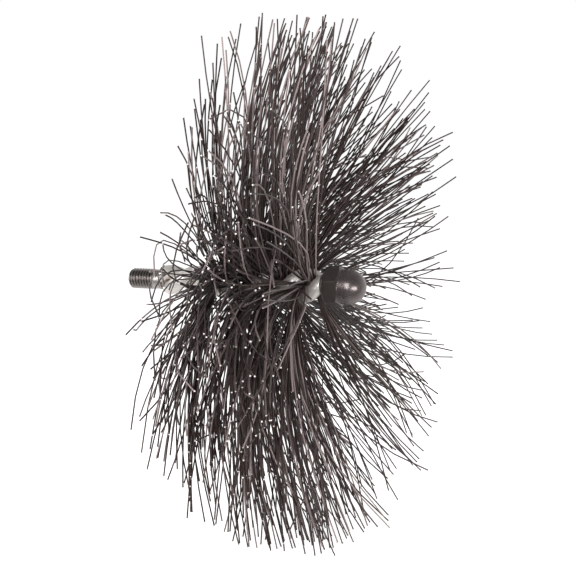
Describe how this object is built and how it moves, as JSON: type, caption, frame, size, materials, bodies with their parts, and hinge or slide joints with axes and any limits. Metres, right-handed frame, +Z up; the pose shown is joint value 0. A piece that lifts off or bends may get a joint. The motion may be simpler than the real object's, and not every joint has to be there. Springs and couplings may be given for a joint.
{
  "type": "threaded nylon brush",
  "caption": "Round flue and duct brush: nylon bristles pinched in a twisted steel wire core, with a threaded rod stud behind and a domed cap nut in front.",
  "frame": {"origin": "on the surface that the brush stands on, under the middle of its length along the core", "axes": "+X along the core from the rod stud to the cap nut, +Z up, bristle tips down on Z = 0"},
  "size_m": [0.124, 0.2427, 0.2405],
  "materials": {
    "core_wire": "bright drawn steel wire",
    "stud_steel": "zinc-plated steel, rolled thread",
    "weld_metal": "dull steel weld",
    "cap_nut": "glossy blackened steel",
    "bristle": "dark brown nylon monofilament, satin"
  },
  "bodies": {
    "core": {"rear_stud": "stud_steel", "front_stud": "stud_steel", "rear_weld": "weld_metal", "front_weld": "weld_metal", "wire_strand_a": "core_wire", "wire_strand_b": "core_wire", "bristle_row_1": "bristle", "bristle_row_2": "bristle", "bristle_row_3": "bristle", "bristle_row_4": "bristle", "bristle_row_5": "bristle", "bristle_row_6": "bristle", "bristle_row_7": "bristle", "bristle_row_8": "bristle"},
    "cap_nut": {"cap_nut": "cap_nut"}
  },
  "joints": [
    {"name": "cap_nut_turn", "type": "hinge", "parent": "core", "child": "cap_nut", "pos_m": [0.03979, 0, 0.12037], "axis": [1, 0, 0], "range_deg": [0, 2736]}
  ]
}
